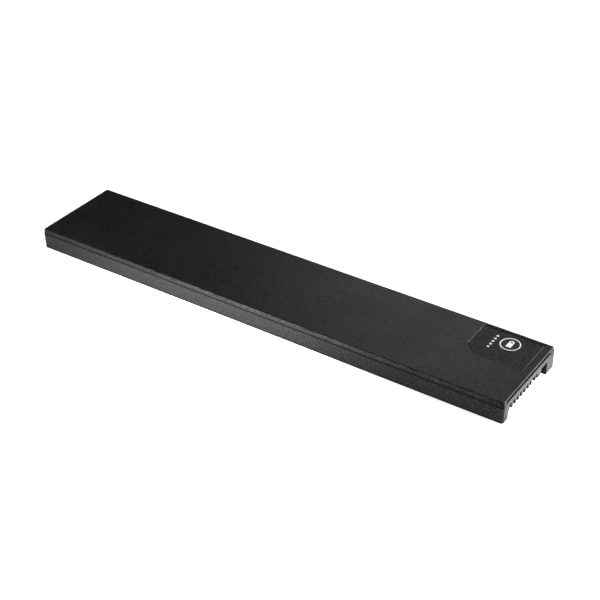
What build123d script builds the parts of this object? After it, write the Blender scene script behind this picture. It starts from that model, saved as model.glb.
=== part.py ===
"""Slim slide-in lithium-ion battery unit: two-shell casing, 7 x 5 round cells, control board,
battery-check button with five lights, and a nine-way blade connector under one end.

Millimetres. The casing lies flat on Z = 0. X runs along the casing, with the connector at +X.
Z is up, towards the cover with the button. The origin is the centre of the underside.
"""

from build123d import *
import os
from math import atan, degrees

os.makedirs("parts", exist_ok=True)

# Casing, outside
length = 513.0
width = 97.0
height = 21.5
parting_height = 17.0
corner_radius = 2.6
base_radius = 1.0
cover_inset = 0.9
cover_edge_radius = 1.1
parting_groove = 0.6

# Casing, walls and the tongue that joins the two shells
wall = 2.2
floor_thickness = 1.3
roof_thickness = 1.5
tongue_thickness = 0.9
tongue_height = 2.0
tongue_clearance = 0.15
tongue_corner_radius = 1.6
tongue_end_gap = 6.0
inner_corner_radius = 0.5
past = 1.0  # how far a cut runs past the face it opens

# Connector end: two legs with an open recess and a raised end wall between them
leg_near_width = 9.2
leg_far_width = 15.5
recess_depth = 22.0
recess_height = 8.3
recess_fillet = 1.0
shelf_thickness = 1.5
frame_wall = 1.2
end_wall_top = 18.7
lip_bottom = 20.4
ear_near_width = 6.4
ear_far_width = 9.6
ear_radius = 0.9
shield_thickness = 1.8
shield_clearance = 0.3

# Blade slots in the end wall
slot_count = 9
slot_pitch = 6.05
slot_first_y = -35.3
slot_width = 3.1
slot_top = 14.1
wide_slot = 7
wide_slot_width = 6.2

# Guide channel beside the far leg
guide_width = 11.0
guide_slant = 1.5
guide_top = 14.2
guide_depth = 14.0
guide_roof = 1.0

# Connector block and its fork contacts
housing_depth = 16.2
housing_margin = 3.2
housing_roof = 0.5
housing_back = 1.5
flange_width = 1.0
flange_back = 1.5
flange_thickness = 1.2
contact_thickness = 0.4
contact_half_width = 1.0
contact_length = 9.0
contact_rise = 1.0
contact_pad_length = 2.3

# Recess in the cover and the control panel film that lies in it
recess_panel_depth = 0.8
recess_left_x = 189.8
recess_right_x = 249.0
recess_near_y = -0.3
recess_far_y = 44.4
recess_corner_x = 202.0
recess_corner_y = 11.2
film_thickness = 0.5
film_left_gap = 0.4
film_right_gap = 0.9
film_near_gap = 0.3
film_far_gap = 1.0
film_clearance = 0.05

# Battery-check button and status lights
button_x = 222.2
button_y = 29.7
button_radius = 8.1
button_gap = 0.2
button_flange_radius = 10.2
button_flange_thickness = 0.7
button_flange_gap = 0.1
button_stem_radius = 2.3
button_edge_radius = 0.15
button_travel = 0.4
ring_radius = 9.3
icon_width = 4.9
icon_length = 9.0
icon_corner_radius = 0.5
icon_nub_width = 2.4
icon_nub_length = 1.0
icon_window_width = 2.8
icon_window_length = 1.5
icon_depth = 0.3
icon_shift = 0.3  # towards the far side from the middle of the button
light_count = 5
light_pitch = 4.58
light_first_y = 16.8
light_x = 207.35
light_radius = 1.2
light_gap = 0.05
light_bar_thickness = 1.2
light_bar_overhang = 2.4
led_length = 1.6
led_width = 0.8
led_height = 0.8
led_clearance = 0.2

# Cells
cell_rows = 7
cells_per_row = 5
cell_radius = 9.175
cell_length = 65.0
cell_pitch = 18.4
cell_terminal_radius = 3.8
cell_terminal_height = 0.3
cell_crimp_offset = 4.7
cell_crimp_width = 1.6
cell_crimp_radius = 8.7
row_gap = 0.6
strip_thickness = 0.2
strip_height = 10.0
strip_overhang = 4.0
strip_tab_width = 8.0
end_pad_thickness = 0.6
end_pad_bottom = 2.3
end_pad_top = 17.0
link_insulator_inset = 2.0
link_insulator_gap = 0.3
insulation_thickness = 0.2
insulation_width = 12.0
washer_radius = 8.6
washer_bore = 4.2
washer_thickness = 0.25
rib_width = 2.0
rib_height = 2.2
rib_end_gap = 4.0

# Leads that lie in the valleys between the cells
sense_radius = 0.6
sense_bend = 1.5
sense_low_rise = 1.2
sense_high_rise = 2.6
sense_offset = 0.75
sense_tab_half_width = 0.4
sense_low_end = 3.2
sense_high_end = 6.0
sense_valley_y = (-27.6, 9.2)
power_lead_radius = 1.3
power_bend = 2.6
power_lead_rise = 2.5
power_lead_y = -9.2
power_lead_end = 5.0

# Control board and what it carries
board_thickness = 1.6
board_bottom = 13.2
board_left_x = 205.6
board_right_x = 238.8
board_half_width = 45.3
screw_radius = 1.1
screw_head_radius = 2.0
screw_head_height = 1.4
screw_length = 8.0
screw_tip_gap = 1.0
screw_post_clearance = 0.05
screw_board_clearance = 0.2
cross_length = 2.4
cross_width = 0.5
cross_depth = 0.6
post_radius = 2.4
post_end_inset = 4.0
post_side_inset = 2.2
switch_size = 6.0
switch_height = 3.4
plunger_radius = 1.7
plunger_height = 0.8
plunger_clearance = 0.2

# Board components: centre, then length along X, width and height
transistor_columns = 2
transistor_rows = 3
transistor_first_x = 218.0
transistor_first_y = -38.0
transistor_pitch_x = 10.5
transistor_pitch_y = 7.6
transistor_size = (6.1, 6.5, 2.3)
transistor_tab_length = 1.55
transistor_tab_width = 5.4
transistor_tab_height = 0.5
monitor_center = (231.5, -9.0)
monitor_body = (7.0, 7.0, 1.5)
monitor_leads = (9.0, 9.0, 0.6)
controller_center = (221.0, 3.5)
controller_body = (5.0, 5.0, 1.2)
controller_leads = (6.4, 6.4, 0.5)
shunt_center = (231.0, 4.0)
shunt_size = (3.2, 6.4, 0.7)
fuse_center = (233.8, 15.0)
fuse_size = (4.0, 10.0, 3.2)
capacitor_x = 214.0
capacitor_y = (-22.0, -32.0)
capacitor_radius = 4.0
capacitor_length = 12.0
capacitor_edge_radius = 0.5
thermistor_radius = 1.2
thermistor_length = 4.0
thermistor_gap = 0.1
thermistor_tip_radius = 1.0

# Derived places
half_length = length / 2
half_width = width / 2
inner_half_length = half_length - wall
inner_half_width = half_width - wall
roof_bottom = height - roof_thickness
recess_floor_z = height - recess_panel_depth
film_top = recess_floor_z + film_thickness
cover_draft_angle = degrees(atan(cover_inset / (height - parting_height)))
leg_near_y = leg_near_width - half_width
leg_far_y = half_width - leg_far_width
recess_x = half_length - recess_depth
shelf_top = recess_height + shelf_thickness
tongue_outer_half_width = inner_half_width + tongue_thickness
tongue_outer_half_length = inner_half_length + tongue_thickness
tongue_end_x = inner_half_length - tongue_end_gap
ear_near_y = ear_near_width - half_width
ear_far_y = half_width - ear_far_width
cell_z = floor_thickness + insulation_thickness + cell_radius
first_row_x = -inner_half_length + end_pad_thickness + strip_thickness
row_pitch = cell_length + row_gap
last_row_end_x = first_row_x + cell_rows * row_pitch - row_gap
cell_row_y = [cell_pitch * (i - (cells_per_row - 1) / 2) for i in range(cells_per_row)]
valley_y = [(a + b) / 2 for a, b in zip(cell_row_y, cell_row_y[1:])]
strip_half_width = cell_row_y[-1] + strip_overhang
strip_bottom = cell_z - strip_height / 2
strip_top = cell_z + strip_height / 2
board_top = board_bottom + board_thickness
board_center_x = (board_left_x + board_right_x) / 2
board_half_length = (board_right_x - board_left_x) / 2
slot_y = [slot_first_y + slot_pitch * i for i in range(slot_count)]
slot_halves = [(wide_slot_width if i == wide_slot else slot_width) / 2 for i in range(slot_count)]
light_y = [light_first_y + light_pitch * i for i in range(light_count)]
post_x = (board_left_x + post_end_inset, board_right_x - post_end_inset)
post_y = (post_side_inset - board_half_width, board_half_width - post_side_inset)
post_places = [(x, y) for x in post_x for y in post_y]
housing_back_x = half_length - housing_depth
housing_y = (leg_near_y, slot_y[-1] + housing_margin)
housing_top = slot_top + housing_roof
slot_back_x = housing_back_x + housing_back
guide_near_y = leg_far_y - guide_width
flange_top = roof_bottom - button_flange_gap
stem_bottom = board_top + switch_height + plunger_height
LOW = (Align.CENTER, Align.CENTER, Align.MIN)
HIGH = (Align.CENTER, Align.CENTER, Align.MAX)


def box_between(low, high, mode=Mode.ADD):
    """A box from its lowest to its highest corner, in the current part."""
    size = [b - a for a, b in zip(low, high)]
    with Locations(tuple(low)):
        return Box(*size, align=(Align.MIN, Align.MIN, Align.MIN), mode=mode)


def recess_profile():
    """Section of the open recess between the legs."""
    Polygon(
        (leg_near_y, -past),
        (leg_near_y, recess_height),
        (leg_far_y, recess_height),
        (leg_far_y, -past),
        align=None,
    )


def guide_profile():
    """Section of the guide channel, with its slanting side away from the leg."""
    Polygon(
        (guide_near_y - guide_slant, recess_height - past),
        (guide_near_y, guide_top),
        (leg_far_y, guide_top),
        (leg_far_y, recess_height - past),
        align=None,
    )


# ---------------------------------------------------------------- lower shell
with BuildPart() as bottom_case:
    with BuildSketch():
        RectangleRounded(length, width, corner_radius)
    extrude(amount=parting_height)
    fillet(bottom_case.faces().sort_by(Axis.Z)[0].edges(), base_radius)
    with BuildSketch(Plane.XY.offset(floor_thickness)):
        RectangleRounded(2 * inner_half_length, 2 * inner_half_width, inner_corner_radius)
    extrude(amount=parting_height, mode=Mode.SUBTRACT)
    # the floor and the end wall stop where the end frame stands
    box_between(
        (recess_x - frame_wall, leg_near_y - frame_wall, -past),
        (half_length + past, leg_far_y + frame_wall, floor_thickness + past),
        mode=Mode.SUBTRACT,
    )
    box_between(
        (inner_half_length - past, leg_near_y - frame_wall, -past),
        (half_length + past, leg_far_y + frame_wall, parting_height + past),
        mode=Mode.SUBTRACT,
    )
    # tongue that enters the cover, on the two long sides and the plain end
    with BuildSketch(Plane.XY.offset(parting_height)):
        RectangleRounded(
            2 * tongue_outer_half_length, 2 * tongue_outer_half_width, tongue_corner_radius
        )
        RectangleRounded(
            2 * inner_half_length, 2 * inner_half_width, inner_corner_radius, mode=Mode.SUBTRACT
        )
        with Locations((tongue_end_x, 0)):
            Rectangle(length, 2 * width, align=(Align.MIN, Align.CENTER), mode=Mode.SUBTRACT)
    extrude(amount=tongue_height)
    # shadow groove along the parting line
    with BuildSketch(Plane.XY.offset(parting_height - parting_groove)):
        Rectangle(length + 2 * past, width + 2 * past)
        RectangleRounded(
            length - 2 * parting_groove,
            width - 2 * parting_groove,
            corner_radius - parting_groove,
            mode=Mode.SUBTRACT,
        )
        with Locations((inner_half_length, (ear_near_y + ear_far_y) / 2)):
            Rectangle(
                4 * wall, ear_far_y - ear_near_y, align=(Align.MIN, Align.CENTER), mode=Mode.SUBTRACT
            )
    extrude(amount=parting_groove, mode=Mode.SUBTRACT)
    # low ribs between the cells
    for y in valley_y:
        box_between(
            (first_row_x + rib_end_gap, y - rib_width / 2, floor_thickness),
            (last_row_end_x - rib_end_gap, y + rib_width / 2, floor_thickness + rib_height),
        )
    # screw posts under the board
    for x, y in post_places:
        with Locations((x, y, floor_thickness)):
            Cylinder(post_radius, board_bottom - floor_thickness, align=LOW)
        with Locations((x, y, board_bottom)):
            Cylinder(
                screw_radius + screw_post_clearance, screw_length, align=HIGH, mode=Mode.SUBTRACT
            )

bottom_case.part.label = "bottom_case"
export_step(bottom_case.part, "parts/bottom_case.step")

# End frame: shelf over the recess, three walls down to the underside, guide housing and end wall
with BuildPart() as end_frame:
    box_between(
        (recess_x - frame_wall, leg_near_y - frame_wall, 0),
        (half_length, leg_far_y + frame_wall, shelf_top),
    )
    fillet(end_frame.edges().filter_by(Axis.Y).group_by(Axis.X)[-1].sort_by(Axis.Z)[0], base_radius)
    box_between(
        (half_length - guide_depth - guide_roof, guide_near_y - guide_slant - guide_roof, shelf_top),
        (half_length, leg_far_y + frame_wall, guide_top + guide_roof),
    )
    box_between(
        (inner_half_length, leg_near_y - frame_wall, shelf_top),
        (half_length, leg_far_y + frame_wall, parting_height),
    )
    # the wall is raised between the two ears of the cover
    with BuildSketch(Plane.YZ.offset(inner_half_length)):
        with Locations(((ear_near_y + ear_far_y) / 2, end_wall_top)):
            Rectangle(
                ear_far_y - ear_near_y,
                end_wall_top - parting_height,
                align=(Align.CENTER, Align.MAX),
            )
        fillet(vertices().group_by(Axis.Y)[-1], ear_radius)
    extrude(amount=wall)
    # recess, guide channel and opening for the connector block
    with BuildSketch(Plane.YZ.offset(recess_x)):
        recess_profile()
        fillet(vertices().group_by(Axis.Y)[-1], recess_fillet)
    extrude(amount=recess_depth + past, mode=Mode.SUBTRACT)
    with BuildSketch(Plane.YZ.offset(half_length - guide_depth)):
        guide_profile()
    extrude(amount=guide_depth + past, mode=Mode.SUBTRACT)
    box_between(
        (housing_back_x, housing_y[0], recess_height - past),
        (inner_half_length, housing_y[1], shelf_top + past),
        mode=Mode.SUBTRACT,
    )
    box_between(
        (inner_half_length - past, housing_y[0], recess_height - past),
        (half_length + past, housing_y[1], housing_top),
        mode=Mode.SUBTRACT,
    )

end_frame.part.label = "end_frame"
export_step(end_frame.part, "parts/end_frame.step")

# ---------------------------------------------------------------- cover
def panel_outline(left_gap, right_gap, near_gap, far_gap):
    """Five-sided outline of the control panel, set in from the recess by a gap on each side."""
    Polygon(
        (recess_left_x + left_gap, recess_far_y - far_gap),
        (recess_left_x + left_gap, recess_corner_y + near_gap),
        (recess_corner_x + left_gap, recess_near_y + near_gap),
        (recess_right_x - right_gap, recess_near_y + near_gap),
        (recess_right_x - right_gap, recess_far_y - far_gap),
        align=None,
    )


with BuildPart() as top_cover:
    with BuildSketch(Plane.XY.offset(parting_height)):
        RectangleRounded(length, width, corner_radius)
    extrude(amount=height - parting_height, taper=cover_draft_angle)
    fillet(top_cover.faces().sort_by(Axis.Z)[-1].edges(), cover_edge_radius)
    # hollow above the cells, and the wider rebate that takes the tongue
    with BuildSketch(Plane.XY.offset(parting_height)):
        RectangleRounded(2 * inner_half_length, 2 * inner_half_width, inner_corner_radius)
    extrude(amount=roof_bottom - parting_height, mode=Mode.SUBTRACT)
    with BuildSketch(Plane.XY.offset(parting_height)):
        RectangleRounded(
            2 * (tongue_outer_half_length + tongue_clearance),
            2 * (tongue_outer_half_width + tongue_clearance),
            tongue_corner_radius,
        )
        with Locations((tongue_end_x + tongue_clearance, 0)):
            Rectangle(length, 2 * width, align=(Align.MIN, Align.CENTER), mode=Mode.SUBTRACT)
    extrude(amount=tongue_height + tongue_clearance, mode=Mode.SUBTRACT)
    # the skirt is cut back to a lip above the raised end wall
    with BuildSketch(Plane.YZ.offset(inner_half_length - past)):
        with Locations(((ear_near_y + ear_far_y) / 2, lip_bottom)):
            Rectangle(
                ear_far_y - ear_near_y + 2 * shield_clearance,
                height,
                align=(Align.CENTER, Align.MAX),
            )
        fillet(vertices().group_by(Axis.Y)[-1], ear_radius)
    extrude(amount=wall + 2 * past, mode=Mode.SUBTRACT)
    # inner shield that closes the gap behind the lip
    box_between(
        (inner_half_length - shield_clearance - shield_thickness, ear_near_y, parting_height),
        (inner_half_length - shield_clearance, ear_far_y, roof_bottom),
    )
    # recess for the control panel
    with BuildSketch(Plane.XY.offset(recess_floor_z)):
        panel_outline(0, 0, 0, 0)
    extrude(amount=recess_panel_depth + past, mode=Mode.SUBTRACT)
    # opening for the button and the five light holes
    with Locations((button_x, button_y, roof_bottom)):
        Cylinder(button_radius + button_gap, 2 * roof_thickness, mode=Mode.SUBTRACT)
    for y in light_y:
        with Locations((light_x, y, roof_bottom)):
            Cylinder(light_radius + light_gap, 2 * roof_thickness, mode=Mode.SUBTRACT)

top_cover.part.label = "top_cover"
export_step(top_cover.part, "parts/top_cover.step")

# ---------------------------------------------------------------- button and lights
with BuildPart() as panel_film:
    with BuildSketch(Plane.XY.offset(recess_floor_z)):
        panel_outline(film_left_gap, film_right_gap, film_near_gap, film_far_gap)
    extrude(amount=film_thickness)
    with Locations((button_x, button_y, film_top)):
        Cylinder(ring_radius + film_clearance, 4 * film_thickness, mode=Mode.SUBTRACT)
    for y in light_y:
        with Locations((light_x, y, film_top)):
            Cylinder(light_radius + light_gap, 4 * film_thickness, mode=Mode.SUBTRACT)

panel_film.part.label = "panel_film"
export_step(panel_film.part, "parts/panel_film.step")

with BuildPart() as button_ring:
    with Locations((button_x, button_y, film_top)):
        Cylinder(ring_radius, film_thickness, align=HIGH)
        Cylinder(button_radius + button_gap, 4 * film_thickness, mode=Mode.SUBTRACT)

button_ring.part.label = "button_ring"
export_step(button_ring.part, "parts/button_ring.step")


def icon_outline():
    """Battery symbol: a body with a terminal at its +Y end and one open window."""
    RectangleRounded(icon_width, icon_length, icon_corner_radius)
    with Locations((0, icon_length / 2)):
        Rectangle(icon_nub_width, icon_nub_length, align=(Align.CENTER, Align.MIN))
    with Locations((0, icon_length / 2 - icon_window_length)):
        Rectangle(icon_window_width, icon_window_length, mode=Mode.SUBTRACT)


icon_y = button_y + icon_shift - icon_nub_length / 2
icon_plane = Plane(origin=(button_x, icon_y, film_top - icon_depth))

with BuildPart() as button_cap:
    with Locations((button_x, button_y, flange_top)):
        Cylinder(button_radius, film_top - flange_top, align=LOW)
        Cylinder(button_flange_radius, button_flange_thickness, align=HIGH)
        Cylinder(button_stem_radius, flange_top - stem_bottom, align=HIGH)
    fillet(button_cap.faces().sort_by(Axis.Z)[-1].edges(), button_edge_radius)
    with BuildSketch(icon_plane):
        icon_outline()
    extrude(amount=2 * icon_depth, mode=Mode.SUBTRACT)

button_cap.part.label = "button_cap"
export_step(button_cap.part, "parts/button_cap.step")

with BuildPart() as button_icon:
    with BuildSketch(icon_plane):
        icon_outline()
    extrude(amount=icon_depth)

button_icon.part.label = "button_icon"
export_step(button_icon.part, "parts/button_icon.step")

with BuildPart() as switch_plunger:
    with Locations((button_x, button_y, stem_bottom)):
        Cylinder(plunger_radius, plunger_height, align=HIGH)

switch_plunger.part.label = "switch_plunger"
export_step(switch_plunger.part, "parts/switch_plunger.step")

with BuildPart() as switch_body:
    with Locations((button_x, button_y, board_top)):
        Box(switch_size, switch_size, switch_height, align=LOW)
    with Locations((button_x, button_y, board_top + switch_height)):
        Cylinder(
            plunger_radius + plunger_clearance,
            button_travel + plunger_clearance,
            align=HIGH,
            mode=Mode.SUBTRACT,
        )

switch_body.part.label = "switch_body"
export_step(switch_body.part, "parts/switch_body.step")

pin_bottom = board_top + led_height + led_clearance

with BuildPart() as light_guide:
    box_between(
        (light_x - light_radius, light_y[0] - light_bar_overhang, roof_bottom - light_bar_thickness),
        (light_x + light_radius, light_y[-1] + light_bar_overhang, roof_bottom),
    )
    for y in light_y:
        with Locations((light_x, y, pin_bottom)):
            Cylinder(light_radius, film_top - pin_bottom, align=LOW)

light_guide.part.label = "light_guide"
export_step(light_guide.part, "parts/light_guide.step")

with BuildPart() as status_leds:
    for y in light_y:
        with Locations((light_x, y, board_top)):
            Box(led_width, led_length, led_height, align=LOW)

status_leds.part.label = "status_leds"
export_step(status_leds.part, "parts/status_leds.step")

# ---------------------------------------------------------------- control board
with BuildPart() as control_board:
    with Locations((board_center_x, 0, board_bottom)):
        Box(2 * board_half_length, 2 * board_half_width, board_thickness, align=LOW)
    for x, y in post_places:
        with Locations((x, y, board_bottom)):
            Cylinder(screw_radius + screw_board_clearance, 4 * board_thickness, mode=Mode.SUBTRACT)

control_board.part.label = "control_board"
export_step(control_board.part, "parts/control_board.step")

with BuildPart() as board_screws:
    for x, y in post_places:
        with Locations((x, y, board_top)):
            Cylinder(screw_head_radius, screw_head_height, align=LOW)
            Cylinder(screw_radius, board_thickness + screw_length - screw_tip_gap, align=HIGH)
        with Locations((x, y, board_top + screw_head_height)):
            Box(cross_length, cross_width, 2 * cross_depth, mode=Mode.SUBTRACT)
            Box(cross_width, cross_length, 2 * cross_depth, mode=Mode.SUBTRACT)

board_screws.part.label = "board_screws"
export_step(board_screws.part, "parts/board_screws.step")

with BuildPart() as power_transistors:
    for column in range(transistor_columns):
        x = transistor_first_x + transistor_pitch_x * column
        tab_end_x = x + transistor_size[0] / 2 + transistor_tab_length
        for row in range(transistor_rows):
            y = transistor_first_y + transistor_pitch_y * row
            with Locations((x, y, board_top)):
                Box(*transistor_size, align=LOW)
            box_between(
                (x, y - transistor_tab_width / 2, board_top),
                (tab_end_x, y + transistor_tab_width / 2, board_top + transistor_tab_height),
            )

power_transistors.part.label = "power_transistors"
export_step(power_transistors.part, "parts/power_transistors.step")

with BuildPart() as monitor_chip:
    with Locations((*monitor_center, board_top)):
        Box(*monitor_leads, align=LOW)
        Box(*monitor_body, align=LOW)

monitor_chip.part.label = "monitor_chip"
export_step(monitor_chip.part, "parts/monitor_chip.step")

with BuildPart() as controller_chip:
    with Locations((*controller_center, board_top)):
        Box(*controller_leads, align=LOW)
        Box(*controller_body, align=LOW)

controller_chip.part.label = "controller_chip"
export_step(controller_chip.part, "parts/controller_chip.step")

with BuildPart() as shunt_resistor:
    with Locations((*shunt_center, board_top)):
        Box(*shunt_size, align=LOW)

shunt_resistor.part.label = "shunt_resistor"
export_step(shunt_resistor.part, "parts/shunt_resistor.step")

with BuildPart() as board_fuse:
    with Locations((*fuse_center, board_top)):
        Box(*fuse_size, align=LOW)

board_fuse.part.label = "board_fuse"
export_step(board_fuse.part, "parts/board_fuse.step")

with BuildPart() as bulk_capacitors:
    for y in capacitor_y:
        with Locations(Location((capacitor_x, y, board_bottom - capacitor_radius), (0, 90, 0))):
            Cylinder(capacitor_radius, capacitor_length, align=LOW)
    fillet(bulk_capacitors.edges().filter_by(GeomType.CIRCLE), capacitor_edge_radius)

bulk_capacitors.part.label = "bulk_capacitors"
export_step(bulk_capacitors.part, "parts/bulk_capacitors.step")

thermistor_x = last_row_end_x + strip_thickness + thermistor_gap + thermistor_radius
with BuildPart() as thermistor:
    with Locations((thermistor_x, cell_row_y[1], board_bottom)):
        Cylinder(thermistor_radius, thermistor_length, align=HIGH)
    fillet(thermistor.faces().sort_by(Axis.Z)[0].edges(), thermistor_tip_radius)

thermistor.part.label = "thermistor"
export_step(thermistor.part, "parts/thermistor.step")

# ---------------------------------------------------------------- connector
with BuildPart() as connector_housing:
    box_between(
        (housing_back_x, housing_y[0], recess_height), (half_length, housing_y[1], housing_top)
    )
    box_between(
        (housing_back_x - flange_back, housing_y[0] - flange_width, shelf_top),
        (inner_half_length, housing_y[1] + flange_width, shelf_top + flange_thickness),
    )
    for y, slot_half in zip(slot_y, slot_halves):
        box_between(
            (slot_back_x, y - slot_half, recess_height - past),
            (half_length + past, y + slot_half, slot_top),
            mode=Mode.SUBTRACT,
        )
        box_between(
            (slot_back_x, y - contact_half_width, slot_top),
            (slot_back_x + contact_thickness, y + contact_half_width, housing_top),
            mode=Mode.SUBTRACT,
        )

connector_housing.part.label = "connector_housing"
export_step(connector_housing.part, "parts/connector_housing.step")

# Each contact is a fork: a back plate, two leaves along the slot's sides, and a tail to the board
leaf_bottom = recess_height + contact_rise
leaf_end_x = slot_back_x + contact_length
contact_back_x = slot_back_x + contact_thickness
tail_end_x = board_right_x - contact_pad_length
tail_top = board_top + contact_thickness

with BuildPart() as connector_contacts:
    for y, slot_half in zip(slot_y, slot_halves):
        tail_low = y - contact_half_width
        tail_high = y + contact_half_width
        box_between((slot_back_x, y - slot_half, leaf_bottom), (contact_back_x, y + slot_half, slot_top))
        for leaf_y in (y - slot_half, y + slot_half - contact_thickness):
            box_between(
                (slot_back_x, leaf_y, leaf_bottom), (leaf_end_x, leaf_y + contact_thickness, slot_top)
            )
        box_between((slot_back_x, tail_low, slot_top), (contact_back_x, tail_high, tail_top))
        box_between((tail_end_x, tail_low, board_top), (contact_back_x, tail_high, tail_top))

connector_contacts.part.label = "connector_contacts"
export_step(connector_contacts.part, "parts/connector_contacts.step")

# ---------------------------------------------------------------- cells
cell_body_length = cell_length - cell_terminal_height

for row in range(cell_rows):
    row_x = first_row_x + row * row_pitch
    crimp_x = row_x + cell_body_length - cell_crimp_offset
    with BuildPart() as cell_row:
        for y in cell_row_y:
            with Locations(Location((row_x, y, cell_z), (0, 90, 0))):
                Cylinder(cell_radius, cell_body_length - cell_crimp_offset, align=LOW)
                Cylinder(cell_crimp_radius, cell_body_length, align=LOW)
                Cylinder(cell_terminal_radius, cell_length, align=LOW)
            with Locations(Location((crimp_x + cell_crimp_width, y, cell_z), (0, 90, 0))):
                Cylinder(cell_radius, cell_crimp_offset - cell_crimp_width, align=LOW)
    cell_row.part.label = f"cell_row_{row + 1}"
    export_step(cell_row.part, f"parts/cell_row_{row + 1}.step")

with BuildPart() as cell_washers:
    for row in range(cell_rows):
        washer_x = first_row_x + row * row_pitch + cell_body_length
        for y in cell_row_y:
            with Locations(Location((washer_x, y, cell_z), (0, 90, 0))):
                Cylinder(washer_radius, washer_thickness, align=LOW)
                Cylinder(washer_bore, 4 * washer_thickness, mode=Mode.SUBTRACT)

cell_washers.part.label = "cell_washers"
export_step(cell_washers.part, "parts/cell_washers.step")

with BuildPart() as insulation_strips:
    for y in cell_row_y:
        box_between(
            (first_row_x, y - insulation_width / 2, floor_thickness),
            (last_row_end_x, y + insulation_width / 2, floor_thickness + insulation_thickness),
        )

insulation_strips.part.label = "insulation_strips"
export_step(insulation_strips.part, "parts/insulation_strips.step")

with BuildPart() as end_pad:
    box_between(
        (-inner_half_length, -strip_half_width, end_pad_bottom),
        (-inner_half_length + end_pad_thickness, strip_half_width, end_pad_top),
    )

end_pad.part.label = "end_pad"
export_step(end_pad.part, "parts/end_pad.step")

# Where each sense lead runs: its place across, its height and its end on the board
sense_low_z = strip_top + sense_low_rise
sense_high_z = strip_top + sense_high_rise
sense_high_x = board_left_x + sense_high_end
lead_places = []
for valley in sense_valley_y:
    lead_places.append((valley - sense_offset, sense_high_z, sense_high_x))
    lead_places.append((valley + sense_offset, sense_high_z, sense_high_x))
    lead_places.append((valley, sense_low_z, board_left_x + sense_low_end))
link_x = [first_row_x + i * row_pitch - row_gap for i in range(1, cell_rows)]

with BuildPart() as series_links:
    for x, (tab_y, lead_z, end_x) in zip(link_x, lead_places):
        box_between(
            (x, -strip_half_width, strip_bottom), (x + row_gap, strip_half_width, strip_top)
        )
        box_between(
            (x + strip_thickness, -width, strip_bottom - past),
            (x + row_gap - strip_thickness, width, strip_top - strip_thickness),
            mode=Mode.SUBTRACT,
        )
        box_between(
            (x, tab_y - sense_tab_half_width, strip_top),
            (x + row_gap, tab_y + sense_tab_half_width, lead_z - sense_radius),
        )

series_links.part.label = "series_links"
export_step(series_links.part, "parts/series_links.step")

insulator_half_width = inner_half_width - link_insulator_inset
insulator_bottom = floor_thickness + rib_height + link_insulator_gap

with BuildPart() as link_insulators:
    for x in link_x:
        box_between(
            (x + strip_thickness, -insulator_half_width, insulator_bottom),
            (x + row_gap - strip_thickness, insulator_half_width, strip_top - strip_thickness),
        )

link_insulators.part.label = "link_insulators"
export_step(link_insulators.part, "parts/link_insulators.step")

power_lead_z = strip_top + power_lead_rise

with BuildPart() as negative_strip:
    box_between(
        (first_row_x - strip_thickness, -strip_half_width, strip_bottom),
        (first_row_x, strip_half_width, strip_top),
    )
    box_between(
        (first_row_x - strip_thickness, power_lead_y - power_lead_radius, strip_top),
        (first_row_x, power_lead_y + power_lead_radius, power_lead_z + power_lead_radius),
    )

negative_strip.part.label = "negative_strip"
export_step(negative_strip.part, "parts/negative_strip.step")

with BuildPart() as positive_strip:
    box_between(
        (last_row_end_x, -strip_half_width, strip_bottom),
        (last_row_end_x + strip_thickness, strip_half_width, strip_top),
    )
    box_between(
        (last_row_end_x, -strip_tab_width / 2, board_top),
        (board_left_x + strip_overhang, strip_tab_width / 2, board_top + strip_thickness),
    )

positive_strip.part.label = "positive_strip"
export_step(positive_strip.part, "parts/positive_strip.step")

with BuildPart() as sense_leads:
    for x, (tab_y, lead_z, end_x) in zip(link_x, lead_places):
        with BuildLine():
            FilletPolyline(
                (x, tab_y, lead_z), (end_x, tab_y, lead_z), (end_x, tab_y, board_top), radius=sense_bend
            )
        with BuildSketch(Plane(origin=(x, tab_y, lead_z), z_dir=(1, 0, 0))):
            Circle(sense_radius)
        sweep()

sense_leads.part.label = "sense_leads"
export_step(sense_leads.part, "parts/sense_leads.step")

power_start = (first_row_x, power_lead_y, power_lead_z)
power_end_x = board_left_x + power_lead_end

with BuildPart() as negative_lead:
    with BuildLine():
        FilletPolyline(
            power_start,
            (power_end_x, power_lead_y, power_lead_z),
            (power_end_x, power_lead_y, board_top),
            radius=power_bend,
        )
    with BuildSketch(Plane(origin=power_start, z_dir=(1, 0, 0))):
        Circle(power_lead_radius)
    sweep()

negative_lead.part.label = "negative_lead"
export_step(negative_lead.part, "parts/negative_lead.step")
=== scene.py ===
"""Looks for the slide-in battery unit: materials, studio light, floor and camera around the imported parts."""

import math
from functools import reduce

import bpy
from mathutils import Matrix, Vector


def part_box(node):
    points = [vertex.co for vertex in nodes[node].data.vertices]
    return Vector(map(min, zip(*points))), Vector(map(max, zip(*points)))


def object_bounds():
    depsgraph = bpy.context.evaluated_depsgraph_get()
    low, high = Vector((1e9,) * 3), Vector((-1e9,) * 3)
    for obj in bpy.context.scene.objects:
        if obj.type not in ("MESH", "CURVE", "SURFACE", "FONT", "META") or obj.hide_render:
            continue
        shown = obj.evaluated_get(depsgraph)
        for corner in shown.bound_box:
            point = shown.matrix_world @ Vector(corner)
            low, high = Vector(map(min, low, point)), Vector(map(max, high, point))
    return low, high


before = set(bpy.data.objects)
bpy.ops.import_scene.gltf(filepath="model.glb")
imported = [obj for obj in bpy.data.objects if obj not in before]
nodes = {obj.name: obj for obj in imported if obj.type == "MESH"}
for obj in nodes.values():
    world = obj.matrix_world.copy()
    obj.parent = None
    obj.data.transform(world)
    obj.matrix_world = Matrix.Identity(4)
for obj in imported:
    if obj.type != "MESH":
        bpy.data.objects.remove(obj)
cad_low, cad_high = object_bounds()
scene = bpy.context.scene

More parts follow.
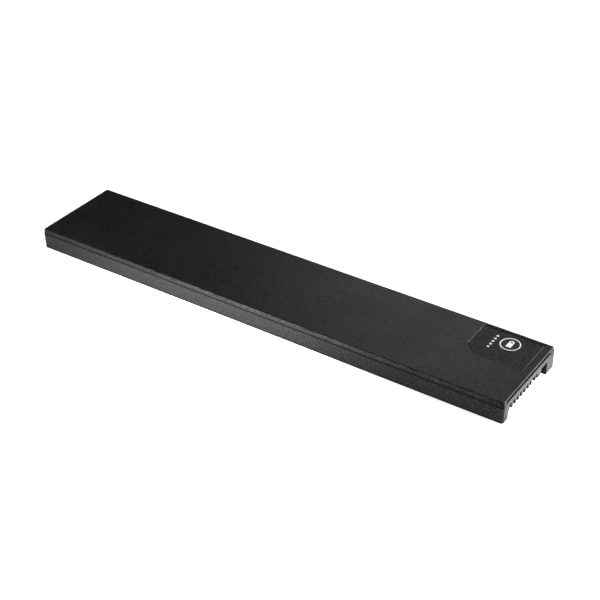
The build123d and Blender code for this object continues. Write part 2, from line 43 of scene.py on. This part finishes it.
MM = 0.001
PARTING_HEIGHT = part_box("top_cover")[0].z
FILM_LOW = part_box("panel_film")[0]
BOARD_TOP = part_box("control_board")[1].z

BLACK = (0.0062, 0.0062, 0.0067)
WHITE = (1.0, 1.0, 1.0)

# Shade in the places that daylight doesn't reach.
BURIED = (0.95 * MM, 1.3 * MM)  # depth inside the unit's box, from open to dark
BURIED_AT_END = (0.15 * MM, 0.5 * MM)  # the same on the pieces of the end wall
GROOVE = (PARTING_HEIGHT - 0.65 * MM, PARTING_HEIGHT + 0.5 * MM)  # foot and top of the dark parting groove
GROOVE_DEPTH = (0.12 * MM, 0.35 * MM)  # depth inside the walls, from open to dark
SEAM_HEIGHT = PARTING_HEIGHT - 0.4 * MM  # middle of the soft shade beside the groove
SEAM_REACH = (0.4 * MM, 1.1 * MM)  # distance from that height, from shaded to open
SEAM_SHADE = 0.8
FOOT_REACH = (0.6 * MM, 3.6 * MM)  # height above the floor, from shaded to open
FOOT_DEPTH = (1.2 * MM, 2.5 * MM)  # depth inside the walls, from shaded to open
FOOT_SHADE = 0.7
HIDDEN_TONE = 0.1  # what is left of the colour in full shade
HIDDEN_SHEEN = 0.04  # what is left of the sheen there

# Painted highlights: the panel recess's wall nearest the plain end, and the film's cut edges that look along
# X, are painted pale as if lit.
RECESS_WALL_FROM = FILM_LOW.z - 0.1 * MM
RECESS_WALL_TO_X = FILM_LOW.x + 9.8 * MM
RECESS_WALL_HIGHLIGHT = (0.14, 0.14, 0.14)
FILM_END_HIGHLIGHT = (0.30, 0.30, 0.30)

# Moulded plastic
PIT_SIZE = 2.2  # in lumps of the grain
GRAIN_RELIEF = 0.6  # share of the relief that the grain makes, where the pits make the rest
SPECK_SIZE = 2.2 * MM
SPECK_SHARE = 0.9  # share of the mottling that the specks make, where the patches make the rest
PATCH_SIZE = 45 * MM
BASE_MOTTLE = 0.4  # share of the sheen's mottling that the colour has
GRAIN_MATT = 0.05  # how far the grain, the patches and the specks change the roughness
PATCH_MATT = 0.03
SPECK_MATT = 0.04
EDGE_RADIUS = 0.5 * MM
WEAR_SIZE = 3.5 * MM
WEAR_CONTRAST = (0.42, 0.62)
LEAST_WEAR = 0.25
WEAR_SHARE = 0.35  # how much of the worn tone shows where the wear is full
WEAR_POLISH = 0.08  # what full wear takes off the roughness
WORN_TONE = 2.6

# Input ranges that spread a noise over the whole of its output. A hard one clips most of the noise.
SOFT = (0.3, 0.7)
FIRM = (0.35, 0.65)
HARD = (0.42, 0.58)
PATCHY = (0.4, 0.7)

SHARP_EDGE = (0.995, 0.86)  # cosine between the flat and the rounded normal, from no edge to a full one
FACING = 0.8  # least share of a normal along an axis, for a face that looks that way


# ------------------------------------------------------------------ shader helpers
def shade(colour, factor):
    """The colour made darker or lighter by a factor."""
    return tuple(min(1.0, factor * channel) for channel in colour)


class Shader:
    """One Principled material and the few node recipes that the surfaces share."""

    def __init__(self, name):
        self.material = bpy.data.materials.new(name)
        self.material.use_nodes = True
        self.tree = self.material.node_tree
        self.bsdf = self.tree.nodes["Principled BSDF"]
        coordinates = self.node("ShaderNodeTexCoord")
        self.place = coordinates.outputs["Object"]
        self.facing = coordinates.outputs["Normal"]

    def node(self, kind, **settings):
        made = self.tree.nodes.new(kind)
        for key, value in settings.items():
            setattr(made, key, value)
        return made

    def link(self, source, target):
        self.tree.links.new(source, target)

    def put(self, socket, value):
        """A number, vector or colour goes on the socket, and a node's output is linked to it."""
        if isinstance(value, bpy.types.NodeSocket):
            self.link(value, socket)
        elif isinstance(value, (int, float)):
            socket.default_value = value
        else:
            size = len(socket.default_value)
            socket.default_value = tuple(value) + (1.0,) * (size - len(value))

    def set(self, **values):
        """Inputs of the Principled shader, named with _ for each space."""
        for key, value in values.items():
            self.put(self.bsdf.inputs[key.replace("_", " ")], value)

    def math(self, operation, a, b=0.0):
        made = self.node("ShaderNodeMath", operation=operation)
        self.put(made.inputs[0], a)
        self.put(made.inputs[1], b)
        return made.outputs[0]

    def product(self, *values):
        return reduce(lambda a, b: self.math("MULTIPLY", a, b), values)

    def largest(self, *values):
        return reduce(lambda a, b: self.math("MAXIMUM", a, b), values)

    def total(self, *values):
        return reduce(lambda a, b: self.math("ADD", a, b), values)

    def vector_math(self, operation, a, b=(0.0, 0.0, 0.0), result="Vector"):
        made = self.node("ShaderNodeVectorMath", operation=operation)
        self.put(made.inputs[0], a)
        self.put(made.inputs[1], b)
        return made.outputs[result]

    def distance(self, point=(0.0, 0.0, 0.0)):
        """Distance from a point, in metres."""
        return self.vector_math("DISTANCE", self.place, point, result="Value")

    def split(self, vector):
        """The X, Y and Z of a vector."""
        made = self.node("ShaderNodeSeparateXYZ")
        self.link(vector, made.inputs[0])
        return made.outputs["X"], made.outputs["Y"], made.outputs["Z"]

    def stretched(self, factors):
        """The place in metres, scaled along each axis."""
        made = self.node("ShaderNodeMapping")
        self.link(self.place, made.inputs["Vector"])
        made.inputs["Scale"].default_value = factors
        return made.outputs[0]

    def noise(self, size, detail=2.0, rough=0.5, place=None):
        """Noise whose lumps are about size metres across."""
        made = self.node("ShaderNodeTexNoise")
        self.link(place or self.place, made.inputs["Vector"])
        made.inputs["Scale"].default_value = 1.0 / size
        made.inputs["Detail"].default_value = detail
        made.inputs["Roughness"].default_value = rough
        return made.outputs["Fac"]

    def cells(self, size, feature="F1", randomness=1.0):
        """Distance from the middles, or the edges, of cells about size metres across."""
        made = self.node("ShaderNodeTexVoronoi", feature=feature)
        self.link(self.place, made.inputs["Vector"])
        made.inputs["Scale"].default_value = 1.0 / size
        made.inputs["Randomness"].default_value = randomness
        return made.outputs["Distance"]

    def span(self, value, low_in, high_in, low_out=0.0, high_out=1.0, curve="LINEAR"):
        """The value carried from one range to another, and held at the ends."""
        made = self.node("ShaderNodeMapRange", interpolation_type=curve)
        self.link(value, made.inputs["Value"])
        made.inputs["From Min"].default_value = low_in
        made.inputs["From Max"].default_value = high_in
        made.inputs["To Min"].default_value = low_out
        made.inputs["To Max"].default_value = high_out
        return made.outputs["Result"]

    def vary(self, noise, low=0.0, high=1.0, contrast=SOFT):
        """Noise spread from low to high."""
        return self.span(noise, *contrast, low, high)

    def blend(self, share, a, b):
        """Colour a where share is 0 and colour b where it is 1."""
        made = self.node("ShaderNodeMix", data_type="RGBA")
        self.put(made.inputs["Factor"], share)
        self.put(made.inputs["A"], a)
        self.put(made.inputs["B"], b)
        return made.outputs["Result"]

    def bump(self, height, depth, normal=None):
        """Relief of depth metres between height 0 and 1."""
        made = self.node("ShaderNodeBump")
        made.inputs["Strength"].default_value = 1.0
        made.inputs["Distance"].default_value = depth
        self.link(height, made.inputs["Height"])
        if normal is not None:
            self.link(normal, made.inputs["Normal"])
        return made.outputs["Normal"]

    def worn_edge(self, radius):
        """1 along outer edges, fading to 0 a radius away from them, and the normal rounded by that radius."""
        rounded = self.node("ShaderNodeBevel", samples=4)
        rounded.inputs["Radius"].default_value = radius
        flat = self.node("ShaderNodeNewGeometry")
        normal = rounded.outputs["Normal"]
        cosine = self.vector_math("DOT_PRODUCT", normal, flat.outputs["Normal"], result="Value")
        return self.span(cosine, *SHARP_EDGE), normal

    def height(self):
        """Height above the floor, in metres."""
        return self.split(self.place)[2]

    def above(self, height):
        """1 above that height in metres, else 0."""
        return self.math("GREATER_THAN", self.height(), height)

    def before(self, x):
        """1 where X is less than x metres, else 0."""
        return self.math("LESS_THAN", self.split(self.place)[0], x)

    def facing_ends(self):
        """1 on faces that look along X, else 0."""
        along = self.split(self.facing)[0]
        return self.math("GREATER_THAN", self.math("ABSOLUTE", along), FACING)

    def depths(self):
        """How far a point is inside the unit's four walls, and inside all six sides of its box."""
        from_low = self.vector_math("SUBTRACT", self.place, cad_low)
        from_high = self.vector_math("SUBTRACT", cad_high, self.place)
        x, y, z = self.split(self.vector_math("MINIMUM", from_low, from_high))
        inside_walls = self.math("MINIMUM", x, y)
        return inside_walls, self.math("MINIMUM", inside_walls, z)

    def hidden(self, buried_from):
        """Share of painted shade: 1 inside slots, recesses and the parting groove, less beside the groove and
        at the foot, else 0.
        """
        inside_walls, inside_box = self.depths()
        buried = self.span(inside_box, *buried_from)
        groove_low, groove_high = GROOVE
        groove = self.product(
            self.above(groove_low),
            self.math("SUBTRACT", 1.0, self.above(groove_high)),
            self.span(inside_walls, *GROOVE_DEPTH),
        )
        from_seam = self.math("ABSOLUTE", self.math("SUBTRACT", self.height(), SEAM_HEIGHT))
        seam = self.span(from_seam, *SEAM_REACH, SEAM_SHADE, 0.0)
        foot = self.product(
            self.span(self.height(), *FOOT_REACH, FOOT_SHADE, 0.0),
            self.span(inside_walls, *FOOT_DEPTH, 1.0, 0.0),
        )
        return self.largest(buried, groove, seam, foot)


# ------------------------------------------------------------------ surfaces
def moulded(name, colour, roughness, grain, depth, gloss, mottle, end_highlight=None, dark_from=BURIED):
    """Moulded plastic with a spark-eroded grain, mottled sheen, polished edges, and painted shade in its gaps,
    slots and recesses, beside the seam and along the foot.

    Faces that look along X are painted with the given highlight colour, when one is given. Without one, only
    the panel recess's wall is painted pale as a highlight.
    """
    s = Shader(name)
    fine = s.noise(grain, detail=3.0, rough=0.6)
    pits = s.cells(PIT_SIZE * grain, feature="SMOOTH_F1")
    patch = s.noise(PATCH_SIZE, detail=3.0)
    speck = s.noise(SPECK_SIZE, rough=0.9)
    mottling = s.total(s.product(speck, SPECK_SHARE), s.product(patch, 1 - SPECK_SHARE))
    tone = s.vary(mottling, contrast=HARD)
    edge, rounded = s.worn_edge(EDGE_RADIUS)
    wear = s.product(edge, s.vary(s.noise(WEAR_SIZE, detail=4.0), LEAST_WEAR, 1.0, WEAR_CONTRAST))

    spread = BASE_MOTTLE * mottle
    base = s.blend(tone, shade(colour, 1 - spread), shade(colour, 1 + spread))
    base = s.blend(s.product(wear, WEAR_SHARE), base, shade(colour, WORN_TONE))
    # Painted highlight: pale colour on the recess wall, or on every face of the film that looks along X.
    if end_highlight is None:
        recess_wall = s.product(s.facing_ends(), s.above(RECESS_WALL_FROM), s.before(RECESS_WALL_TO_X))
        base = s.blend(recess_wall, base, RECESS_WALL_HIGHLIGHT)
    else:
        base = s.blend(s.facing_ends(), base, end_highlight)
    rough = s.total(
        s.vary(fine, -GRAIN_MATT, GRAIN_MATT),
        s.vary(patch, -PATCH_MATT, PATCH_MATT, FIRM),
        s.vary(speck, roughness - SPECK_MATT, roughness + SPECK_MATT, FIRM),
    )
    rough = s.math("SUBTRACT", rough, s.product(wear, WEAR_POLISH))
    sheen = s.blend(tone, shade(WHITE, 1 - mottle), WHITE)
    height = s.total(s.product(fine, GRAIN_RELIEF), s.product(pits, 1 - GRAIN_RELIEF))

    # Painted shade: darker colour and less sheen in gaps, slots and recesses, beside the seam and along the
    # foot.
    hidden = s.hidden(dark_from)
    s.set(Base_Color=s.blend(hidden, base, shade(colour, HIDDEN_TONE)))
    s.set(Specular_Tint=s.blend(hidden, sheen, shade(WHITE, HIDDEN_SHEEN)))
    s.set(Roughness=rough, Normal=s.bump(height, depth, rounded), Specular_IOR_Level=gloss)
    return s.material


def printed(name, colour, roughness):
    """Opaque white ink or insert with faint unevenness and a dusty edge."""
    dust = (0.42, 0.42, 0.41)
    s = Shader(name)
    blotch = s.noise(0.9 * MM, detail=4.0)
    grain = s.noise(0.16 * MM)
    edge, rounded = s.worn_edge(0.12 * MM)
    base = s.blend(s.vary(blotch, contrast=FIRM), shade(colour, 0.9), colour)
    base = s.blend(s.product(edge, 0.3), base, dust)
    s.set(Base_Color=base, Roughness=s.vary(blotch, roughness - 0.06, roughness + 0.06))
    s.set(Normal=s.bump(grain, 0.006 * MM, rounded))
    return s.material


def clear_pin(name):
    """Milky clear plastic of the light guide, clouded and finely scratched."""
    cloudy, clear, dulled = (0.58, 0.60, 0.60), (0.72, 0.73, 0.72), (0.55, 0.56, 0.56)
    s = Shader(name)
    cloud = s.noise(0.7 * MM, detail=3.0)
    scratch = s.noise(0.25 * MM, place=s.stretched((1.0, 5.0, 1.0)))
    edge, rounded = s.worn_edge(0.15 * MM)
    base = s.blend(s.vary(cloud), cloudy, clear)
    s.set(Base_Color=s.blend(s.product(edge, 0.4), base, dulled))
    s.set(Roughness=s.vary(scratch, 0.18, 0.34), Normal=s.bump(scratch, 0.003 * MM, rounded))
    s.set(Subsurface_Weight=0.35, Subsurface_Radius=(0.8 * MM, 0.8 * MM, 0.9 * MM), Subsurface_Scale=1.0)
    return s.material


def metal(name, colour, roughness, stretch, tarnish=0.25):
    """Rolled, plated or turned metal. Its fine lines run along the axis whose stretch is small."""
    tarnished = (0.38, 0.66)
    s = Shader(name)
    lines = s.noise(0.12 * MM, detail=3.0, rough=0.65, place=s.stretched(stretch))
    cloud = s.noise(6 * MM, detail=4.0)
    edge, rounded = s.worn_edge(0.12 * MM)
    base = s.blend(s.vary(cloud, contrast=tarnished), colour, shade(colour, 1 - tarnish))
    base = s.blend(s.product(edge, 0.4), base, shade(colour, 1.25))
    rough = s.total(s.vary(lines, roughness - 0.08, roughness + 0.1), s.vary(cloud, 0.0, 0.12, PATCHY))
    s.set(Base_Color=base, Roughness=rough, Metallic=1.0, Normal=s.bump(lines, 0.004 * MM, rounded))
    return s.material


def circuit_board(name):
    """Solder mask over copper tracks, with bare pads and the weave of the laminate."""
    over_laminate, over_copper = (0.010, 0.085, 0.030), (0.022, 0.190, 0.062)
    weave_tint, solder = (0.016, 0.120, 0.045), (0.72, 0.66, 0.50)
    track_edge = (0.03, 0.07)
    pad_radius = 0.16
    s = Shader(name)
    track = s.cells(3.2 * MM, feature="DISTANCE_TO_EDGE", randomness=0.55)
    pads = s.math("LESS_THAN", s.cells(4.6 * MM, randomness=0.35), pad_radius)
    copper = s.span(track, *track_edge, 1.0, 0.0)
    weave = s.noise(0.5 * MM, detail=1.0, place=s.stretched((1.0, 0.15, 1.0)))
    mask = s.blend(copper, over_laminate, over_copper)
    mask = s.blend(s.vary(weave, 0.0, 0.35), mask, weave_tint)
    s.set(Base_Color=s.blend(pads, mask, solder))
    s.set(Roughness=s.vary(weave, 0.24, 0.4), Metallic=pads)
    height = s.total(copper, s.product(weave, 0.25))
    s.set(Normal=s.bump(height, 0.03 * MM), Coat_Weight=0.3, Coat_Roughness=0.15)
    return s.material


def chip(name, lead_height):
    """Moulded epoxy body above its tinned leads."""
    epoxy_dark, epoxy_light = (0.012, 0.012, 0.013), (0.024, 0.024, 0.026)
    tin_dull, tin_bright = (0.58, 0.58, 0.57), (0.74, 0.74, 0.72)
    s = Shader(name)
    grain = s.noise(0.14 * MM, detail=3.0)
    cloud = s.noise(2.5 * MM)
    body = s.above(BOARD_TOP + lead_height)
    epoxy = s.blend(s.vary(cloud, contrast=FIRM), epoxy_dark, epoxy_light)
    tin = s.blend(s.vary(grain), tin_dull, tin_bright)
    s.set(Base_Color=s.blend(body, tin, epoxy), Metallic=s.math("SUBTRACT", 1.0, body))
    rough = s.total(s.vary(grain, 0.22, 0.34), s.product(body, 0.26))
    s.set(Roughness=rough, Normal=s.bump(grain, 0.012 * MM))
    return s.material


def cell_sleeve(name):
    """Round cells: shrink sleeve with faint creases on the barrel, bare steel on the end faces."""
    sleeve_dark, sleeve_light = (0.030, 0.120, 0.200), (0.045, 0.165, 0.260)
    sleeve_worn = (0.12, 0.26, 0.36)
    steel_dull, steel_bright = (0.55, 0.54, 0.52), (0.70, 0.69, 0.66)
    s = Shader(name)
    crease = s.noise(5 * MM, detail=3.0, place=s.stretched((0.25, 1.0, 1.0)))
    grain = s.noise(0.3 * MM)
    end = s.facing_ends()
    edge, rounded = s.worn_edge(0.4 * MM)
    film = s.blend(s.vary(crease, contrast=FIRM), sleeve_dark, sleeve_light)
    film = s.blend(s.product(edge, 0.35), film, sleeve_worn)
    steel = s.blend(s.vary(grain), steel_dull, steel_bright)
    rough = s.math("SUBTRACT", s.vary(crease, 0.30, 0.44), s.product(end, 0.06))
    s.set(Base_Color=s.blend(end, film, steel), Metallic=end, Roughness=rough)
    s.set(Normal=s.bump(crease, 0.12 * MM, rounded))
    return s.material


def fibre(name, colour, fleck, roughness):
    """Insulating paper, card or ceramic with short fibres or flecks in it."""
    flecked = (0.4, 0.68)
    s = Shader(name)
    strands = s.noise(0.35 * MM, detail=4.0, rough=0.7, place=s.stretched((1.0, 0.3, 1.0)))
    cloud = s.noise(9 * MM, detail=3.0)
    base = s.blend(s.vary(strands, contrast=flecked), colour, fleck)
    base = s.blend(s.vary(cloud, 0.0, 0.25, PATCHY), base, shade(colour, 0.8))
    s.set(Base_Color=base, Roughness=s.vary(strands, roughness - 0.08, roughness + 0.08))
    s.set(Normal=s.bump(strands, 0.02 * MM))
    return s.material


def foam(name, colour):
    """Closed-cell foam with open pores on its cut faces."""
    s = Shader(name)
    pores = s.cells(0.45 * MM, feature="SMOOTH_F1")
    cloud = s.noise(7 * MM, detail=3.0)
    base = s.blend(s.span(pores, 0.1, 0.6), shade(colour, 0.4), colour)
    base = s.blend(s.vary(cloud, 0.0, 0.3, PATCHY), base, shade(colour, 1.4))
    s.set(Base_Color=base, Roughness=s.span(pores, 0.0, 0.6, 0.95, 0.8), Normal=s.bump(pores, 0.1 * MM))
    return s.material


def insulation(name, colour):
    """Silicone lead insulation, slightly dusty, with a soft sheen."""
    dusty = (0.45, 0.75)
    pale = tuple(0.75 * channel + 0.08 for channel in colour)
    s = Shader(name)
    dust = s.noise(1.6 * MM, detail=4.0)
    ripple = s.noise(0.5 * MM, place=s.stretched((0.4, 1.0, 1.0)))
    s.set(Base_Color=s.blend(s.vary(dust, 0.0, 0.5, dusty), colour, pale))
    s.set(Roughness=s.vary(ripple, 0.42, 0.6), Normal=s.bump(ripple, 0.012 * MM))
    s.set(Sheen_Weight=0.15, Sheen_Roughness=0.4)
    return s.material


# ------------------------------------------------------------------ materials of the CAD nodes
LINES_ALONG_X = (0.08, 1.0, 1.0)
LINES_ALONG_Y = (1.0, 0.08, 1.0)
LINES_ALONG_BLADE = (0.1, 1.0, 1.0)
LINES_ALONG_SHANK = (1.0, 1.0, 0.1)
NICKEL = (0.68, 0.65, 0.58)
PAPER = (0.10, 0.20, 0.11)
PAPER_FLECK = (0.20, 0.33, 0.19)

casing_grain = dict(roughness=0.42, grain=0.34 * MM, depth=0.016 * MM)
film_grain = dict(roughness=0.5, grain=0.42 * MM, depth=0.02 * MM)
cap_grain = dict(roughness=0.46, grain=0.3 * MM, depth=0.014 * MM)
block_grain = dict(roughness=0.38, grain=0.26 * MM, depth=0.008 * MM)
plunger_grain = dict(roughness=0.4, grain=0.2 * MM, depth=0.006 * MM)
film_black = shade(BLACK, 0.86)

casing = moulded("casing_black", BLACK, **casing_grain, gloss=0.215, mottle=0.78)
end_face = moulded("end_black", BLACK, **casing_grain, gloss=0.21, mottle=0.6, dark_from=BURIED_AT_END)
white = printed("print_white", (0.80, 0.81, 0.80), 0.42)

finishes = {
    "top_cover": casing,
    "bottom_case": casing,
    "end_frame": end_face,
    "connector_housing": end_face,
    "panel_film": moulded("film_black", film_black, **film_grain, gloss=0.225, mottle=0.9, end_highlight=FILM_END_HIGHLIGHT),
    "button_cap": moulded("button_black", film_black, **cap_grain, gloss=0.2, mottle=0.35),
    "button_ring": white,
    "button_icon": white,
    "switch_plunger": moulded("switch_dark", (0.035, 0.035, 0.036), **plunger_grain, gloss=0.5, mottle=0.1),
    "switch_body": moulded("connector_black", shade(BLACK, 0.9), **block_grain, gloss=0.2, mottle=0.15),
    "light_guide": clear_pin("guide_milky"),
    "status_leds": printed("led_phosphor", (0.78, 0.70, 0.38), 0.25),
    "control_board": circuit_board("board_green"),
    "board_screws": metal("zinc_screw", (0.60, 0.60, 0.58), 0.3, LINES_ALONG_SHANK),
    "power_transistors": chip("transistor_epoxy", lead_height=0.5 * MM),
    "monitor_chip": chip("monitor_epoxy", lead_height=0.6 * MM),
    "controller_chip": chip("controller_epoxy", lead_height=0.5 * MM),
    "shunt_resistor": metal("shunt_alloy", (0.46, 0.42, 0.37), 0.34, LINES_ALONG_Y),
    "board_fuse": fibre("fuse_ceramic", (0.70, 0.66, 0.56), (0.82, 0.80, 0.74), 0.35),
    "bulk_capacitors": metal("drawn_can", (0.72, 0.72, 0.73), 0.28, LINES_ALONG_X, tarnish=0.12),
    "thermistor": printed("thermistor_bead", (0.03, 0.03, 0.032), 0.22),
    "connector_contacts": metal("gold_flash", (0.86, 0.66, 0.32), 0.22, LINES_ALONG_BLADE, tarnish=0.15),
    "cell_washers": fibre("washer_card", (0.74, 0.73, 0.66), (0.86, 0.85, 0.80), 0.75),
    "insulation_strips": fibre("strip_paper", PAPER, PAPER_FLECK, 0.7),
    "link_insulators": fibre("link_paper", PAPER, PAPER_FLECK, 0.7),
    "end_pad": foam("pad_foam", (0.040, 0.040, 0.042)),
    "series_links": metal("nickel_link", NICKEL, 0.3, LINES_ALONG_Y),
    "negative_strip": metal("nickel_negative", NICKEL, 0.3, LINES_ALONG_Y),
    "positive_strip": metal("nickel_positive", NICKEL, 0.3, LINES_ALONG_Y),
    "sense_leads": insulation("lead_red", (0.42, 0.022, 0.018)),
    "negative_lead": insulation("lead_black", (0.018, 0.018, 0.019)),
}
sleeve = cell_sleeve("cell_blue")
finishes.update({name: sleeve for name in nodes if name.startswith("cell_row_")})

for name, node in nodes.items():
    for slot in node.material_slots:
        slot.material = finishes[name]

# ------------------------------------------------------------------ floor
FLOOR_SIZE = 24.0
FLOOR_GAP = 0.2 * MM
FLOOR_GLOW = 0.5
FAR_GLOW = 1.06  # glow beyond the reach of the lights, which keeps the far floor as pale as the near floor
FAR_GLOW_REACH = (0.7, 1.8)
FLOOR_GREY = ((0.86, 0.86, 0.86), (0.90, 0.90, 0.90))
# Pools of light under the floor's diffuser, in metres. The near side and the end wall mirror them.
POOLS = {
    "front_left": dict(x=-0.18, y=-0.10, radius=0.12, strength=1.07),
    "front_middle_left": dict(x=-0.10, y=-0.11, radius=0.14, strength=2.9),
    "front_middle": dict(x=0.0, y=-0.11, radius=0.14, strength=3.7),
    "front_middle_right": dict(x=0.08, y=-0.10, radius=0.12, strength=0.88),
    "front_right": dict(x=0.15, y=-0.12, radius=0.11, strength=0.5),
    "front_corner": dict(x=0.215, y=-0.10, radius=0.10, strength=0.46),
    "end_middle": dict(x=0.29, y=0.0, radius=0.09, strength=2.6),
    "end_far": dict(x=0.29, y=0.06, radius=0.09, strength=1.16),
    "end_corner": dict(x=0.29, y=0.11, radius=0.07, strength=0.8),
}


def floor_material():
    """Pale diffusing sheet, lit from below."""
    s = Shader("floor_pale")
    cloud = s.noise(0.5, detail=3.0)
    grain = s.noise(0.8 * MM)
    s.set(Base_Color=s.blend(s.vary(cloud, contrast=FIRM), *FLOOR_GREY))
    s.set(Roughness=s.vary(grain, 0.85, 0.95), Specular_IOR_Level=0.0)
    glow = s.span(s.distance(), *FAR_GLOW_REACH, FLOOR_GLOW, FAR_GLOW)
    for pool in POOLS.values():
        away = s.distance((pool["x"], pool["y"], 0.0))
        pool_glow = s.span(away, 0.0, pool["radius"], pool["strength"], 0.0, curve="SMOOTHERSTEP")
        glow = s.total(glow, pool_glow)
    s.set(Emission_Color=WHITE, Emission_Strength=glow)
    return s.material


def make_floor():
    """The table on which the object lies."""
    half = FLOOR_SIZE / 2
    corners = [(-half, -half), (half, -half), (half, half), (-half, half)]
    mesh = bpy.data.meshes.new("studio_floor")
    mesh.from_pydata([(x, y, -FLOOR_GAP) for x, y in corners], [], [(0, 1, 2, 3)])
    mesh.materials.append(floor_material())
    floor = bpy.data.objects.new("studio_floor", mesh)
    scene.collection.objects.link(floor)


make_floor()

# ------------------------------------------------------------------ light
AIM = Vector((0.0, 0.0, 0.01))
# Where each light stands as seen from the object, in degrees from +Y towards -X and above the floor, and
# its distance, width and height in metres.
LIGHTS = {
    "back": dict(azimuth=24, elevation=36, distance=1.8, size=(0.45, 0.5), radiance=4.86),
    "back_centre": dict(azimuth=0, elevation=38, distance=1.8, size=(0.5, 0.5), radiance=0.96),
    "back_low": dict(azimuth=0, elevation=14, distance=1.8, size=(0.8, 0.4), radiance=1.9),
    "back_right_low": dict(azimuth=-30, elevation=10, distance=1.5, size=(0.6, 0.4), radiance=13.1),
    "right_low": dict(azimuth=-55, elevation=10, distance=1.4, size=(0.6, 0.4), radiance=12.6),
    "right_rim": dict(azimuth=-40, elevation=28, distance=1.5, size=(0.5, 0.4), radiance=42.0),
    "front_low": dict(azimuth=150, elevation=8, distance=0.8, size=(0.25, 0.15), radiance=21.0),
    "front_near": dict(azimuth=157, elevation=7, distance=0.384, size=(0.14, 0.08), radiance=60.0),
    "front_rim": dict(azimuth=145, elevation=32, distance=0.7, size=(0.2, 0.2), radiance=3.5),
    "front_soft": dict(azimuth=180, elevation=30, distance=2.0, size=(1.4, 0.5), radiance=1.3),
    "left": dict(azimuth=90, elevation=30, distance=1.4, size=(0.6, 0.5), radiance=3.0),
}


def make_light(name, azimuth, elevation, distance, size, radiance):
    """An area light that faces the object; radiance is what a mirror in its place would show."""
    turn, rise = math.radians(azimuth), math.radians(elevation)
    direction = Vector((-math.sin(turn) * math.cos(rise), math.cos(turn) * math.cos(rise), math.sin(rise)))
    wide, tall = size
    data = bpy.data.lights.new(name, "AREA")
    data.shape = "RECTANGLE"
    data.size = wide
    data.size_y = tall
    data.energy = radiance * math.pi * wide * tall
    light = bpy.data.objects.new(name, data)
    light.location = AIM + direction * distance
    light.rotation_mode = "QUATERNION"
    light.rotation_quaternion = (-direction).to_track_quat("-Z", "Y")
    scene.collection.objects.link(light)


for name, settings in LIGHTS.items():
    make_light(name, **settings)

BACKDROP = 1.05  # strength of the pale backdrop at the horizon
SKY = 0.0
HORIZON_FADE = (0.04, 0.14)  # sine of the elevation where the backdrop starts to fade, and where it ends


def make_world():
    """A pale backdrop round the horizon under a dark sky."""
    world = bpy.data.worlds.new("studio")
    world.use_nodes = True
    tree = world.node_tree
    background = tree.nodes["Background"]
    direction = tree.nodes.new("ShaderNodeTexCoord")
    split = tree.nodes.new("ShaderNodeSeparateXYZ")
    fade = tree.nodes.new("ShaderNodeMapRange")
    fade.interpolation_type = "SMOOTHSTEP"
    fade.inputs["From Min"].default_value, fade.inputs["From Max"].default_value = HORIZON_FADE
    fade.inputs["To Min"].default_value = BACKDROP
    fade.inputs["To Max"].default_value = SKY
    tree.links.new(direction.outputs["Generated"], split.inputs[0])
    tree.links.new(split.outputs["Z"], fade.inputs["Value"])
    tree.links.new(fade.outputs["Result"], background.inputs["Strength"])
    background.inputs["Color"].default_value = (*WHITE, 1.0)
    return world


scene.world = make_world()
scene.view_settings.view_transform = "Standard"
scene.view_settings.look = "None"

# ------------------------------------------------------------------ camera
# The camera's direction from the object's origin, its roll, its distance and its offset from that line in
# metres, its lens in millimetres, and the distances that it sees.
AZIMUTH = math.radians(35.0313)
ELEVATION = math.radians(34.075)
ROLL = math.radians(-1.1482)
DISTANCE = 1.2615
SIDEWAYS = 0.017287
UPWARD = 0.002175
SENSOR_WIDTH = 36.0
FOCAL_LENGTH = 80.508
NEAREST = 0.05
FURTHEST = 20.0


def make_camera():
    """The camera above the near side, towards the connector end."""
    back = Vector(
        (
            math.sin(AZIMUTH) * math.cos(ELEVATION),
            -math.cos(AZIMUTH) * math.cos(ELEVATION),
            math.sin(ELEVATION),
        )
    )
    level = Vector((0.0, 0.0, 1.0)).cross(back).normalized()
    upright = back.cross(level)
    right = level * math.cos(ROLL) + upright * math.sin(ROLL)
    up = upright * math.cos(ROLL) - level * math.sin(ROLL)
    place = back * DISTANCE + right * SIDEWAYS + up * UPWARD
    data = bpy.data.cameras.new("photo_camera")
    data.sensor_width = SENSOR_WIDTH
    data.lens = FOCAL_LENGTH
    data.clip_start = NEAREST
    data.clip_end = FURTHEST
    camera = bpy.data.objects.new("photo_camera", data)
    camera.matrix_world = Matrix.Translation(place) @ Matrix((right, up, back)).transposed().to_4x4()
    scene.collection.objects.link(camera)
    return camera


scene.camera = make_camera()
